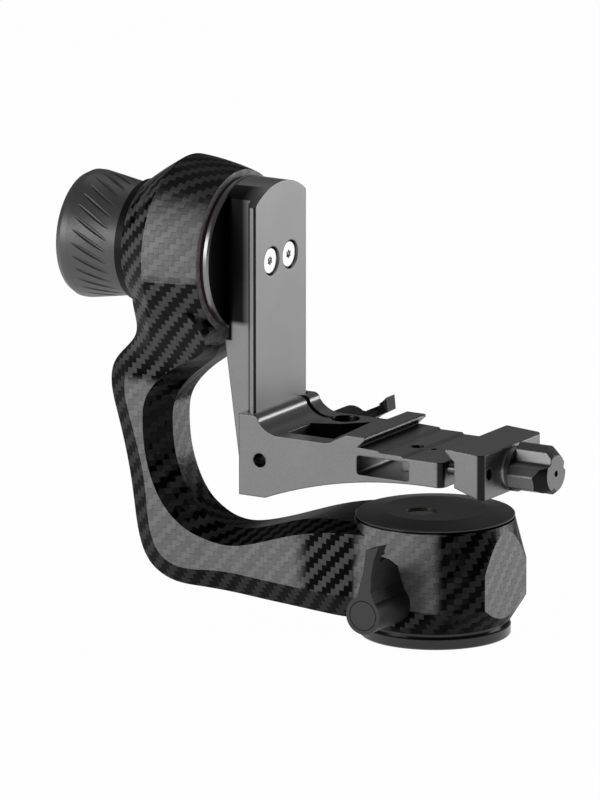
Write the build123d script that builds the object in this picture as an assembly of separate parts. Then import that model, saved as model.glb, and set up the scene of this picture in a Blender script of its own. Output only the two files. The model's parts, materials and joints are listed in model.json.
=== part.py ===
from build123d import *
import os

# Gimbal tripod head: base, carbon U-arm, swing arm, platform with dovetail clamp and its controls.
# Millimetres, +Z up. The origin is the centre of the base plate's underside, on the pan axis. +X runs
# along the tilt axis from the tilt knob towards the clamp knob, and +Y along the lens.

# Clearances
fit = 0.03  # between two pieces fixed to each other, on the radius
running = 0.06  # shaft in a hole that it turns or slides in, on the radius
ball_play = 0.10  # ball in its raceway
gap = 0.2  # flat faces that turn past each other

# Pan axis, upwards from the base plate
base_r = 30.0
base_thick = 4.5
base_step_r = 28.2
base_step_thick = 1.3
socket_r = 3.97  # tapped hole of the 3/8 inch, 16 thread tripod screw
socket_depth = 11.0
insert_r = 7.0
base_screw_circle_r = 17.0
base_screw_count = 3
base_screw_r = 2.0
base_screw_head_r = 4.0
base_screw_length = 8.0
base_screw_recess = 0.3
base_screw_hex_r = 1.45
base_screw_hex_depth = 1.2
seal_width = 2.2
seal_thick = 0.4
pan_spindle_r = 12.5
pan_flange_r = 21.0
pan_flange_thick = 2.6
pan_shoulder_r = 14.0
pan_shoulder_thick = 0.8
pan_bearing_r = 22.0
bearing_width = 5.5
bearing_ball_share = 0.24  # ball radius, as a share of the bearing's radial depth
bearing_wall_share = 0.34  # ring thickness, likewise
pan_bearing_pitch = 24.3  # between the lower faces of the two bearings
pan_ball_count = 16
pan_nut_r = 16.0
pan_nut_thick = 3.7
pan_sleeve_r = 25.5
pan_web_r = 15.0

# Base housing of the arm
housing_low = 6.5
housing_low_r = 30.0
housing_wide_r = 36.0
housing_wide_low = 16.0
housing_wide_high = 30.0
housing_high = 47.0
housing_high_r = 31.6
housing_flat_y = 31.0  # front and back flats
housing_flat_x = 32.2  # flat on the clamp's side

# Cap and bubble level
cap_r = 31.5
cap_gap = 0.6
cap_rim_thick = 1.0
cap_thick = 2.6
cap_flat_r = 20.5
cap_hub_r = 19.0
cap_boss_r = 8.0
cap_boss_length = 7.0
level_x = -2.0
level_y = -7.3
level_r = 6.3
level_wall = 0.8
level_depth = 5.7
level_recess = 0.7
level_glass = 0.8

# Tilt axis, measured along X
tilt_height = 143.0
hub_back = -129.0
hub_ridge = -113.0
hub_front = -90.0
hub_back_r = 26.0
hub_shoulder_r = 30.2
hub_ridge_r = 36.8
hub_front_r = 33.0
hub_crown = 0.6
tilt_spindle_r = 12.0
tilt_flange_r = 14.5
tilt_flange_thick = 2.2
tilt_bearing_r = 20.5
tilt_ball_count = 14
tilt_sleeve_r = 24.0
tilt_sleeve_wall = 7.0
tilt_thread_r = 15.5
tilt_thread_length = 18.8
tilt_washer_r = 30.2
tilt_washer_bore_r = 21.0
tilt_washer_thick = 1.2
tilt_collar_r = 24.5
tilt_collar_thick = 4.1
tilt_nut_r = 14.5
tilt_nut_thick = 3.2
brake_pad_thick = 2.8

# Tilt knob
knob_big_r = 25.6
knob_small_r = 22.1
knob_length = 27.8
knob_band = 6.0
knob_edge = 3.5
knob_end_wall = 6.9
knob_nut_length = 12.0
knob_nut_recess = 1.5
knob_nut_wall = 3.45
knob_groove_count = 30
knob_groove_length = 22.5
knob_groove_r = 0.9
knob_groove_slant = 28.0
knob_groove_shift = 0.6
knob_cap_r = 13.0
knob_cap_thick = 1.2

# U-arm section: front and back flats, chamfers towards the outside and the inside of the U
arm_half = 15.6
arm_outer_drop = 9.4
arm_outer_in = 5.5
arm_inner_drop = 8.5
arm_inner_in = 9.1
arm_depth = 53.2  # from the hub's front face to the outermost point of the U
arm_low = 7.6

# Swing arm
disc_r = 30.9
disc_thick = 2.6
disc_chamfer = 0.7
stem_half = 17.0
stem_low_back = -78.4
stem_high_back = -86.4
stem_round = 3.2
rail_back = -74.4
rail_front = -70.8
rail_half = 19.9
rail_back_chamfer = 1.1
rail_front_chamfer = 0.7
rail_low = 53.0
swing_screw_y = 7.1
swing_screw_r = 2.5
swing_screw_head_r = 5.3
swing_screw_head_thick = 2.8
swing_screw_recess = 0.8
swing_drive_r = 1.35
swing_drive_lobe_r = 0.5
swing_drive_depth = 1.8
swing_counterbore_r = 5.8
swing_screw_length = 28.0
stop_pin_r = 1.5
stop_pin_height = 58.0
stop_pin_length = 4.0

# Platform bracket
bracket_half = 23.6
bracket_back = -76.0
bracket_low = 51.2
boss_front = -69.3
boss_round = 1.6
boss_slope_out = 2.4
boss_rise = 7.1  # over the deck
boss_hollow_x = -63.9
boss_hollow_rise = 1.8
deck_height = 76.9
deck_back = -58.5
deck_front = -36.9
arch_front = 7.0
arch_x = -30.0
arch_z = 61.2
arch_back = -64.0
bracket_end = 16.9
bracket_end_low = 65.0
bracket_end_round = 3.0
floor_high_width = 9.5
floor_high_drop = 0.3
floor_step = 0.7
floor_low_start = -0.8
slit_y = 13.6
slit_width = 2.4
relief_x = -50.6
relief_y = 16.0
relief_r = 5.7
window_left = -21.9
window_right = 1.8
window_low = 66.0
window_high = 73.7
window_round = 1.2
jaw_hollow_x = -34.4
jaw_hollow_rise = 0.5
jaw_slope_x = -32.2
jaw_slope_rise = 1.7
jaw_back_x = -26.8
screw_boss_left = -10.0
screw_boss_half = 9.0
pocket_depth = 13.0
pocket_wall = 3.0
floor_hole_x = -4.4
floor_hole_y = -6.5
floor_hole_r = 2.6
small_hole_x = 2.2
small_hole_y = -4.5
small_hole_r = 1.3
floor_hole_depth = 1.6
pad_thick = 1.0

# Dovetail clamp
jaw_open_half = 18.2  # each tip from the pan axis with the clamp open
jaw_undercut = 3.4
jaw_tip_rise = 4.3  # over the deck
jaw_root_rise = 0.1
jaw_edge = 0.5
jaw_travel = 4.6
jaw_gap = jaw_travel + 0.9  # between the bracket's end and the moving jaw
jaw_thick = 12.7
jaw_low_inner = 66.0
jaw_low_outer = 61.9
jaw_round = 3.0
clamp_height = 70.9
guide_pin_r = 2.2
guide_pin_y = 18.0
guide_pin_height = 72.0
guide_pin_inside = 9.0
guide_pin_outside = 13.0
clamp_screw_r = 3.0
clip_r = 5.0
clip_thick = 1.0
clip_recess = 1.8
clamp_washer_r = 8.0
clamp_washer_thick = 1.0
knob3_collar_r = 9.0
knob3_collar_length = 2.3
knob3_length = 16.4
knob3_reach = 10.7
knob3_end_half = 2.7  # half width of a lobe's flat end
knob3_side_reach = 7.6
knob3_side_half = 5.2
knob3_waist = 5.9
knob3_round = 0.8
knob3_nose_r = 7.7  # front face, from which the lobes slope back
knob3_nose_start = 8.6
knob3_edge = 0.5
knob3_turn = 15.0
knob3_hole_r = 1.2
knob3_hole_depth = 4.4

# Lock levers, both of one form
lever_length = 23.8
lever_hub_r = 7.6
lever_cap_r = 6.0
lever_cap_thick = 1.5
lever_tip_depth = 6.4
lever_hollow_start = 9.5
lever_dimple_r = 1.6
lever_dimple_side = 4.2
lever_dimple_share = 0.8  # its distance from the hub, as a share of the lever's reach
lever_dimple_depth = 1.2
lever_screw_r = 3.0
lever_washer_r = 7.0
lever_washer_thick = 0.8
pan_lever_height = 18.5
pan_lever_reach = 28.3
pan_bush_r = 5.0
pan_shoe_r = 3.5
pan_shoe_back = 19.0  # its outer end, from the pan axis
height_bolt_x = -66.5
height_bolt_z = 66.1
height_bolt_r = 2.75
height_bolt_depth = 34.0
height_lever_reach = 23.0
height_lever_turn = 70.0

# Worked out from the values above
flange_low = base_thick + base_step_thick
bearing_low = flange_low + pan_flange_thick + pan_shoulder_thick
bearing_high = bearing_low + pan_bearing_pitch
pan_nut_low = bearing_high + bearing_width
pan_nut_high = pan_nut_low + pan_nut_thick
cap_low = housing_high + cap_gap
cap_high = cap_low + cap_thick
sleeve_low = flange_low + pan_flange_thick + gap
sleeve_high = housing_high - gap
web_low = bearing_low + bearing_width
web_high = bearing_high
disc_front = hub_front + tilt_washer_thick + gap + disc_thick
disc_back = disc_front - disc_thick
tilt_front_bearing = disc_back - tilt_flange_thick - bearing_width
tilt_back_bearing = hub_back + tilt_sleeve_wall
thread_end = hub_back - tilt_thread_length
nut_front = thread_end - 2 * gap
nut_back = nut_front - tilt_nut_thick
pad_back = nut_back - brake_pad_thick
knob_back = pad_back - gap - knob_end_wall
knob_front = knob_back + knob_length
jaw_inner = bracket_end + jaw_gap
jaw_outer = jaw_inner + jaw_thick
knob3_start = jaw_outer + clamp_washer_thick + gap / 2
knob3_front = knob3_start + knob3_collar_length
knob3_end = knob3_front + knob3_length
lever_start = housing_flat_y + lever_washer_thick + gap
boss_height = deck_height + boss_rise
jaw_tip_height = deck_height + jaw_tip_rise
jaw_root_height = deck_height + jaw_root_rise
middle_floor = deck_height - floor_high_drop - floor_step
low_floor = middle_floor - floor_step
channel_half = rail_half + running
pad_outside = channel_half + pad_thick

tilt_frame = Pos(0, 0, tilt_height) * Rot(0, 90, 0)  # a local Z becomes world X


def turned(profile):
    """Solid of revolution about Z, from (radius, height) points."""
    points = [(r, 0, z) for r, z in profile]
    return revolve(make_face(Polyline(*points, close=True)), Axis.Z)


def ring(outer, inner, low, high):
    return turned([(inner, low), (outer, low), (outer, high), (inner, high)])


def rod(radius, low, high):
    return Pos(0, 0, (low + high) / 2) * Cylinder(radius, high - low)


def box(x, y, z):
    """Box between two corners, each axis as a (low, high) pair."""
    middle = Pos((x[0] + x[1]) / 2, (y[0] + y[1]) / 2, (z[0] + z[1]) / 2)
    return middle * Box(x[1] - x[0], y[1] - y[0], z[1] - z[0])


def rod_x(radius, low, high, y, z):
    return Pos(0, y, z) * Rot(0, 90, 0) * rod(radius, low, high)


def rod_y(radius, low, high, x, z):
    return Pos(x, 0, z) * Rot(-90, 0, 0) * rod(radius, low, high)


def slab(points, half):
    """Plate with an outline of (x, z) points, centred on Y."""
    outline = make_face(Polyline(*[(x, 0, z) for x, z in points], close=True))
    return extrude(outline, half, both=True)


def write(name, *solids):
    pieces = [one for shape in solids for one in shape.solids()]
    export_step(pieces[0] if len(pieces) == 1 else Compound(children=pieces), f"parts/{name}.step")


# Ball bearings


def bearing(bore, outside, count):
    """Inner ring, outer ring and balls, from z = 0 to the bearing's width."""
    depth = outside - bore
    pitch = (outside + bore) / 2
    ball_r = bearing_ball_share * depth
    wall = bearing_wall_share * depth
    race = Pos(0, 0, bearing_width / 2) * Torus(pitch, ball_r + ball_play)
    inner = ring(bore + wall, bore + fit, 0, bearing_width) - race
    outer = ring(outside - fit, outside - wall, 0, bearing_width) - race
    ball = Pos(pitch, 0, bearing_width / 2) * Sphere(ball_r)
    balls = [Rot(0, 0, 360 * i / count) * ball for i in range(count)]
    return inner, outer, balls


# Base


def base_screw_places():
    step = 360 / base_screw_count
    on_circle = Pos(base_screw_circle_r, 0, 0)
    return [Rot(0, 0, step * (i + 0.25)) * on_circle for i in range(base_screw_count)]


def base_screw():
    head = base_screw_recess + base_screw_head_r - base_screw_r
    profile = [
        (0, base_screw_recess),
        (base_screw_head_r, base_screw_recess),
        (base_screw_r, head),
        (base_screw_r, base_screw_length),
        (0, base_screw_length),
    ]
    hexagon = extrude(RegularPolygon(base_screw_hex_r, 6), base_screw_hex_depth)
    return turned(profile) - Pos(0, 0, base_screw_recess) * hexagon


def base_screw_hole():
    head = base_screw_recess + base_screw_head_r - base_screw_r
    profile = [
        (0, 0),
        (base_screw_head_r + fit, 0),
        (base_screw_head_r + fit, base_screw_recess),
        (base_screw_r + fit, head),
        (base_screw_r + fit, base_screw_length + gap),
        (0, base_screw_length + gap),
    ]
    return turned(profile)


def base_plate():
    edge = 0.5
    profile = [
        (insert_r + fit, 0),
        (base_r - edge, 0),
        (base_r, edge),
        (base_r, base_thick - edge),
        (base_r - edge, base_thick),
        (base_step_r, base_thick),
        (base_step_r, flange_low),
        (insert_r + fit, flange_low),
    ]
    plate = turned(profile)
    for place in base_screw_places():
        plate -= place * base_screw_hole()
    return plate


def pan_spindle():
    bore_high = pan_nut_high - cap_boss_length - gap
    profile = [
        (insert_r + fit, flange_low),
        (pan_flange_r, flange_low),
        (pan_flange_r, flange_low + pan_flange_thick),
        (pan_shoulder_r, flange_low + pan_flange_thick),
        (pan_shoulder_r, bearing_low),
        (pan_spindle_r, bearing_low),
        (pan_spindle_r, pan_nut_high),
        (cap_boss_r + fit, pan_nut_high),
        (cap_boss_r + fit, bore_high),
        (0, bore_high),
        (0, socket_depth),
        (insert_r + fit, socket_depth),
    ]
    spindle = turned(profile)
    for place in base_screw_places():
        spindle -= place * base_screw_hole()
    return spindle


def pan_cap():
    edge = 0.3
    profile = [
        (0, pan_nut_high - cap_boss_length),
        (cap_boss_r, pan_nut_high - cap_boss_length),
        (cap_boss_r, pan_nut_high),
        (cap_hub_r, pan_nut_high),
        (cap_hub_r, cap_low),
        (cap_r - edge, cap_low),
        (cap_r, cap_low + edge),
        (cap_r, cap_low + cap_rim_thick - edge),
        (cap_r - edge, cap_low + cap_rim_thick),
        (cap_flat_r, cap_high),
        (0, cap_high),
    ]
    return turned(profile) - Pos(level_x, level_y, 0) * rod(level_r, cap_high - level_depth, cap_high + 1)


def level_pieces():
    """Cup, fluid and glass of the bubble level."""
    low = cap_high - level_depth
    high = cap_high - level_recess
    inside = level_r - fit - level_wall
    glass_low = high - level_glass
    place = Pos(level_x, level_y, 0)
    cup = rod(level_r - fit, low, high) - rod(inside, low + level_wall, high + 1)
    fluid = rod(inside - fit, low + level_wall, glass_low)
    glass = rod(inside - fit, glass_low, high - fit)
    return place * cup, place * fluid, place * glass


# U-arm


def arm_stations():
    """Sections along the U from inside the hub to inside the base housing.

    Each has its outer and inner point (x, z), the half width of its flats and the depth of the
    chamfer towards the inside of the U.
    """
    hub = [
        (0.660, 0.217, 0.047, 0.217, 1.097, 0.120),
        (0.669, 0.571, 0.020, 0.707, 0.805, 0.150),
        (0.700, 0.883, 0.035, 1.033, 0.448, 0.300),
    ]
    side = [
        (0.838, 0.697, 0.180, 0.671, 0.156, 0.750),
        (0.972, 0.638, 0.355, 0.616, 0.030, 0.950),
        (1.000, 0.572, 0.479, 0.551, 0.000, 1.000),
        (0.949, 0.488, 0.508, 0.472, 0.000, 1.000),
        (0.876, 0.382, 0.485, 0.387, 0.000, 1.000),
        (0.812, 0.250, 0.404, 0.298, 0.000, 0.976),
    ]
    corner = [
        (0.756, 0.419, 0.282, 0.807, 0.000, 0.894),
        (0.648, 0.152, 0.160, 0.701, 0.000, 0.824),
        (0.470, 0.025, 0.075, 0.660, 0.000, 0.729),
        (0.226, 0.000, -0.019, 0.642, 0.013, 0.694),
    ]
    run = [
        (0.960, 0.000, 0.910, 0.655, 0.104, 0.659),
        (0.800, 0.000, 0.780, 0.731, 0.305, 0.624),
        (0.620, 0.000, 0.610, 0.858, 0.519, 0.588),
        (0.420, 0.000, 0.420, 0.949, 0.760, 0.471),
        (0.250, 0.013, 0.250, 0.964, 0.909, 0.294),
        (0.100, 0.025, 0.100, 0.939, 0.909, 0.294),
    ]
    rise = tilt_height - arm_low
    low = housing_high - arm_low
    flare = housing_flat_y - arm_half
    stations = []
    for rows, x, x_size, z, z_size in (
        (hub, hub_front, -arm_depth, tilt_height, -hub_ridge_r),
        (side, hub_front, -arm_depth, arm_low, rise),
        (corner, hub_front, -arm_depth, arm_low, low),
        (run, 0, hub_front, arm_low, low),
    ):
        for out_x, out_z, in_x, in_z, width, drop in rows:
            outer = (x + out_x * x_size, z + out_z * z_size)
            inner = (x + in_x * x_size, z + in_z * z_size)
            stations.append((outer, inner, arm_half + width * flare, drop * arm_inner_drop))
    return stations


def arm_section(outer, inner, half, inner_drop):
    """Eight-sided section in the plane through the outer and the inner point."""
    start = Vector(outer[0], 0, outer[1])
    along = Vector(inner[0], 0, inner[1]) - start
    length = along.length
    along = along.normalized()
    side = Vector(0, 1, 0)
    halves = [
        (0, half - arm_outer_in),
        (arm_outer_drop, half),
        (length - inner_drop, half),
        (length, half - arm_inner_in),
    ]
    points = [start + along * d + side * w for d, w in halves]
    points += [start + along * d - side * w for d, w in reversed(halves)]
    return Face(Wire(Polyline(*points, close=True).edges()))


def arm_housing():
    profile = [
        (0, housing_low),
        (housing_low_r, housing_low),
        (housing_wide_r, housing_wide_low),
        (housing_wide_r, housing_wide_high),
        (housing_high_r, housing_high),
        (0, housing_high),
    ]
    reach = housing_wide_r + 1
    room = box((-reach, housing_flat_x), (-housing_flat_y, housing_flat_y), (0, housing_high + 1))
    return turned(profile) & room


def arm_hub():
    """Drum about the tilt axis, with a rounded shoulder towards the knob."""
    back = Line((0, hub_back), (hub_back_r, hub_back))
    shoulder_at = hub_back + 0.36 * (hub_ridge - hub_back)
    crown_at = (hub_ridge + hub_front) / 2
    crown_r = (hub_ridge_r + hub_front_r) / 2 + hub_crown
    ridge = (hub_ridge_r, hub_ridge)
    shoulder = ThreePointArc((hub_back_r, hub_back), (hub_shoulder_r, shoulder_at), ridge)
    crown = ThreePointArc(ridge, (crown_r, crown_at), (hub_front_r, hub_front))
    front = Line((hub_front_r, hub_front), (0, hub_front))
    axis = Line((0, hub_front), (0, hub_back))
    outline = Plane.XZ * make_face([back, shoulder, crown, front, axis])
    return tilt_frame * revolve(outline, Axis.Z)


def gimbal_arm():
    sweep_body = loft([arm_section(*station) for station in arm_stations()])
    arm = arm_housing() + sweep_body + arm_hub()
    arm -= rod(pan_sleeve_r, 0, housing_high + 5)
    arm -= tilt_frame * rod(tilt_sleeve_r, hub_back - 5, hub_front + 5)
    arm -= tilt_frame * rod(disc_r + gap, hub_front, hub_front / 2)  # faced for the washer and the disc
    return arm - rod_y(pan_bush_r + fit, -housing_wide_r, 0, 0, pan_lever_height)


def pan_sleeve():
    wall = pan_sleeve_r - fit
    profile = [
        (pan_bearing_r, sleeve_low),
        (wall, sleeve_low),
        (wall, sleeve_high),
        (pan_bearing_r, sleeve_high),
        (pan_bearing_r, web_high),
        (pan_web_r, web_high),
        (pan_web_r, web_low),
        (pan_bearing_r, web_low),
    ]
    sleeve = turned(profile)
    sleeve -= rod_y(pan_shoe_r + fit, -pan_sleeve_r, 0, 0, pan_lever_height)
    return sleeve - rod_y(pan_bush_r + fit, -housing_wide_r, -pan_bearing_r, 0, pan_lever_height)


def pan_bush():
    body = rod_y(pan_bush_r, -housing_flat_y, -pan_bearing_r, 0, pan_lever_height)
    return body - rod_y(lever_screw_r + running, -housing_wide_r, 0, 0, pan_lever_height)


def pan_shoe():
    """Brake shoe whose inner end follows the spindle."""
    body = rod_y(pan_shoe_r, -pan_shoe_back, -pan_spindle_r / 2, 0, pan_lever_height)
    return body - rod(pan_spindle_r + running, 0, housing_high)


def tilt_sleeve():
    wall = tilt_sleeve_r - fit
    bore = tilt_spindle_r + gap
    profile = [
        (bore, thread_end),
        (tilt_thread_r, thread_end),
        (tilt_thread_r, hub_back),
        (wall, hub_back),
        (wall, hub_front),
        (tilt_bearing_r, hub_front),
        (tilt_bearing_r, tilt_back_bearing),
        (bore, tilt_back_bearing),
    ]
    return tilt_frame * turned(profile)


def tilt_spacer():
    wall = bearing_wall_share * (tilt_bearing_r - tilt_spindle_r)
    low = tilt_back_bearing + bearing_width
    return tilt_frame * ring(tilt_bearing_r - fit, tilt_bearing_r - wall, low, tilt_front_bearing)


# Tilt knob


def knob_grip():
    """Tapered grip with slanted almond-shaped grooves and a hollow for the threaded tube."""
    hollow_r = tilt_thread_r + knob_nut_wall + fit
    wide = knob_back + knob_band
    profile = [
        (0, knob_back),
        (knob_big_r - knob_edge, knob_back),
        (knob_big_r - knob_edge / 3, knob_back + knob_edge / 3),
        (knob_big_r, knob_back + knob_edge),
        (knob_big_r, wide),
        (knob_small_r, knob_front),
        (hollow_r, knob_front),
        (hollow_r, knob_back + knob_end_wall),
        (0, knob_back + knob_end_wall),
    ]
    grip = turned(profile) - rod(knob_cap_r, knob_back - 1, knob_back + knob_cap_thick)
    middle = (wide + knob_front) / 2 - knob_groove_shift
    share = (middle - wide) / (knob_front - wide)
    middle_r = knob_big_r + (knob_small_r - knob_big_r) * share
    taper = Vector(knob_big_r - knob_small_r, 0, knob_front - wide).get_angle(Vector(0, 0, 1))
    half = knob_groove_length / 2
    arc = ThreePointArc((0, 0, -half), (knob_groove_r, 0, 0), (0, 0, half))
    almond = revolve(make_face([arc, Line((0, 0, half), (0, 0, -half))]), Axis.Z)
    laid = Pos(middle_r, 0, middle) * Rot(0, -taper, 0) * Rot(-knob_groove_slant, 0, 0) * almond
    grip -= [Rot(0, 0, 360 * i / knob_groove_count) * laid for i in range(knob_groove_count)]
    return tilt_frame * grip


def knob_nut():
    high = knob_front - knob_nut_recess
    inner = tilt_thread_r + running
    return tilt_frame * ring(tilt_thread_r + knob_nut_wall, inner, high - knob_nut_length, high)


# Swing arm


def swing_screw_places():
    return [Pos(0, y, 0) for y in (-swing_screw_y, swing_screw_y)]


def tilt_spindle():
    profile = [
        (0, nut_back),
        (tilt_spindle_r, nut_back),
        (tilt_spindle_r, disc_back - tilt_flange_thick),
        (tilt_flange_r, disc_back - tilt_flange_thick),
        (tilt_flange_r, disc_back),
        (0, disc_back),
    ]
    spindle = tilt_frame * turned(profile)
    tip = rail_front - swing_screw_length - gap
    for place in swing_screw_places():
        spindle -= place * rod_x(swing_screw_r + fit, tip, disc_back, 0, tilt_height)
    return spindle


def swing_disc():
    edge = 0.5
    profile = [
        (0, disc_back),
        (disc_r - edge, disc_back),
        (disc_r, disc_back + edge),
        (disc_r, disc_front - disc_chamfer),
        (disc_r - disc_chamfer, disc_front),
        (0, disc_front),
    ]
    disc = tilt_frame * turned(profile)
    for place in swing_screw_places():
        disc -= place * rod_x(swing_screw_r + fit, disc_back - 1, disc_front + 1, 0, tilt_height)
    return disc


def swing_rail():
    """Stem behind a flat rail plate, both rounded at the top about the tilt axis."""
    stem_turn = tilt_height - disc_r - disc_thick / 4
    high = tilt_height + disc_r
    outline = [
        (rail_back, rail_low),
        (stem_low_back, rail_low),
        (stem_high_back, stem_turn),
        (disc_front, stem_turn),
        (disc_front, high),
        (rail_back, high),
    ]
    stem = slab(outline, stem_half)
    stem = fillet(stem.edges().filter_by(Axis.Z).group_by(Axis.X)[0], stem_round)
    plate = box((rail_back, rail_front), (-rail_half, rail_half), (rail_low, high))
    for side, size in ((0, rail_back_chamfer), (-1, rail_front_chamfer)):
        plate = chamfer(plate.edges().filter_by(Axis.Z).group_by(Axis.X)[side], size)
    reach = (stem_high_back - 1, rail_front + 1)
    round_end = tilt_frame * rod(disc_r, *reach)
    below = box(reach, (-disc_r, disc_r), (rail_low - 1, tilt_height))
    arm = (stem + plate) & (round_end + below)
    for place in swing_screw_places():
        arm -= place * rod_x(swing_screw_r + fit, *reach, 0, tilt_height)
        seat = rail_front - swing_screw_recess - swing_screw_head_thick
        arm -= place * rod_x(swing_counterbore_r, seat, rail_front + 1, 0, tilt_height)
    return arm - rod_x(stop_pin_r + fit, rail_back, rail_front + 1, 0, stop_pin_height)


def swing_screw():
    """Screw with a six-lobed drive."""
    seat = rail_front - swing_screw_recess - swing_screw_head_thick
    top = rail_front - swing_screw_recess
    head = rod(swing_screw_head_r, seat, top)
    head = chamfer(head.edges().group_by(Axis.Z)[-1], 0.4)
    drive_low = top - swing_drive_depth
    drive = rod(swing_drive_r, drive_low, top + 1)
    lobe = Pos(swing_drive_r, 0, 0) * rod(swing_drive_lobe_r, drive_low, top + 1)
    drive += [Rot(0, 0, 60 * i) * lobe for i in range(6)]
    screw = head + rod(swing_screw_r, rail_front - swing_screw_length, seat) - drive
    return tilt_frame * screw


# Platform


def bracket_outline():
    """Side of the bracket, from the lower back corner round to the arch under it."""
    lip = jaw_tip_height
    tip = -jaw_open_half
    root = tip - jaw_undercut
    corner = boss_front + boss_round
    shoulder = (boss_front + boss_slope_out, boss_height - boss_slope_out)
    hollow = (jaw_hollow_x, deck_height + jaw_hollow_rise)
    slope = (jaw_slope_x, deck_height + jaw_slope_rise)
    high_floor = (root + floor_high_width, deck_height - floor_high_drop)
    return [
        Line((bracket_back, bracket_low), (bracket_back, boss_height)),
        Line((bracket_back, boss_height), (boss_front, boss_height)),
        ThreePointArc((boss_front, boss_height), (corner, boss_height - boss_round / 2), shoulder),
        ThreePointArc(shoulder, (boss_hollow_x, deck_height + boss_hollow_rise), (deck_back, deck_height)),
        Line((deck_back, deck_height), (deck_front, deck_height)),
        ThreePointArc((deck_front, deck_height), hollow, slope),
        Line(slope, (jaw_back_x, lip)),
        Line((jaw_back_x, lip), (tip - jaw_edge, lip)),
        Line((tip - jaw_edge, lip), (tip, lip - jaw_edge)),
        Line((tip, lip - jaw_edge), (tip, lip - 2 * jaw_edge)),
        Line((tip, lip - 2 * jaw_edge), (root, jaw_root_height)),
        Line((root, jaw_root_height), high_floor),
        Line(high_floor, (high_floor[0] + floor_step, high_floor[1] - floor_step)),
        Line((high_floor[0] + floor_step, middle_floor), (floor_low_start - floor_step, middle_floor)),
        Line((floor_low_start - floor_step, middle_floor), (floor_low_start, low_floor)),
        Line((floor_low_start, low_floor), (bracket_end, low_floor)),
        Line((bracket_end, low_floor), (bracket_end, bracket_end_low)),
        Line((bracket_end, bracket_end_low), (arch_front, bracket_end_low)),
        ThreePointArc((arch_front, bracket_end_low), (arch_x, arch_z), (arch_back, bracket_low)),
        Line((arch_back, bracket_low), (bracket_back, bracket_low)),
    ]


def platform_bracket():
    outline = Plane.XZ * make_face(bracket_outline())
    body = extrude(outline, bracket_half, both=True)
    body = fillet(body.edges().filter_by(Axis.Z).group_by(Axis.X)[-1], bracket_end_round)
    high = boss_height + 1
    low = bracket_low - 1
    # channel that holds the rail plate, open at the back for the stem
    rail_room = (rail_back - running, rail_front + running)
    stem_room = (-stem_half - gap, stem_half + gap)
    body -= box(rail_room, (-channel_half, pad_outside), (low, high))
    body -= box((bracket_back - 1, rail_back), stem_room, (low, high))
    pin_room = stop_pin_r + running
    pin_reach = rail_front + stop_pin_length / 2 + gap
    body -= box((rail_front, pin_reach), (-pin_room, pin_room), (low, stop_pin_height + pin_room))
    # slit and relief hole that let the back of the boss clamp the rail
    body -= box((rail_front, relief_x), (slit_y, slit_y + slit_width), (low, high))
    body -= Pos(relief_x, relief_y, 0) * rod(relief_r, low, high)
    # window in each side, with the clamp screw's boss between them
    window_reach = (-bracket_half - 1, bracket_half + 1)
    window = box((window_left, window_right), window_reach, (window_low, window_high))
    window = fillet(window.edges().filter_by(Axis.Y), window_round)
    boss_z = (window_low - 1, window_high + 1)
    window -= box((screw_boss_left, window_right + 1), (-screw_boss_half, screw_boss_half), boss_z)
    body -= window
    # lightening pocket behind the fixed jaw
    clear = relief_r + pocket_wall
    pocket = [
        (deck_back, -relief_y),
        (deck_back, relief_y - clear - 5),
        (relief_x + pocket_wall, relief_y - clear),
        (relief_x + clear + pocket_wall, relief_y),
        (deck_front, -relief_y),
    ]
    pocket_face = make_face(Polyline(*pocket, close=True))
    body -= Pos(0, 0, deck_height - pocket_depth) * extrude(pocket_face, pocket_depth + 5)
    # threads, guide pins and the holes in the clamp's floor
    bolt_reach = bracket_half + 1
    body -= rod_y(height_bolt_r + running, -bolt_reach, bolt_reach, height_bolt_x, height_bolt_z)
    screw_reach = screw_boss_left - jaw_travel - gap
    body -= rod_x(clamp_screw_r + running, screw_reach, bracket_end + 1, 0, clamp_height)
    for y in (-guide_pin_y, guide_pin_y):
        pin_end = bracket_end - guide_pin_inside
        body -= rod_x(guide_pin_r + fit, pin_end, bracket_end + 1, y, guide_pin_height)
    hole_low = low_floor - floor_hole_depth
    body -= Pos(floor_hole_x, floor_hole_y, 0) * rod(floor_hole_r, hole_low, high)
    return body - Pos(small_hole_x, small_hole_y, 0) * rod(small_hole_r, hole_low, high)


def rail_pad():
    """Sliding pad between the clamping ear and the edge of the rail."""
    x = (rail_back, rail_front)
    y = (channel_half, pad_outside)
    return box(x, y, (bracket_low + 1, boss_height - 1))


def jaw_pins():
    low = bracket_end - guide_pin_inside
    high = jaw_inner + guide_pin_outside - jaw_gap
    places = (-guide_pin_y, guide_pin_y)
    return [rod_x(guide_pin_r, low, high, y, guide_pin_height) for y in places]


# Dovetail clamp


def clamp_jaw():
    lip = jaw_tip_height
    tip = jaw_open_half
    outline = [
        (tip + jaw_edge, lip),
        (tip, lip - jaw_edge),
        (tip, lip - 2 * jaw_edge),
        (tip + jaw_undercut, jaw_root_height),
        (jaw_inner, jaw_root_height - jaw_edge),
        (jaw_inner, jaw_low_inner),
        (jaw_outer, jaw_low_outer),
        (jaw_outer, lip - 2 * jaw_edge),
    ]
    jaw = slab(outline, bracket_half)
    jaw = fillet(jaw.edges().filter_by(Axis.Z).group_by(Axis.X)[-1], jaw_round)
    hole_start = jaw_open_half - 1
    jaw -= rod_x(clamp_screw_r + running, hole_start, jaw_outer + 1, 0, clamp_height)
    jaw -= rod_x(clip_r + running, hole_start, jaw_inner + clip_recess, 0, clamp_height)
    for y in (-guide_pin_y, guide_pin_y):
        jaw -= rod_x(guide_pin_r + running, hole_start, jaw_outer + 1, y, guide_pin_height)
    return jaw


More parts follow.
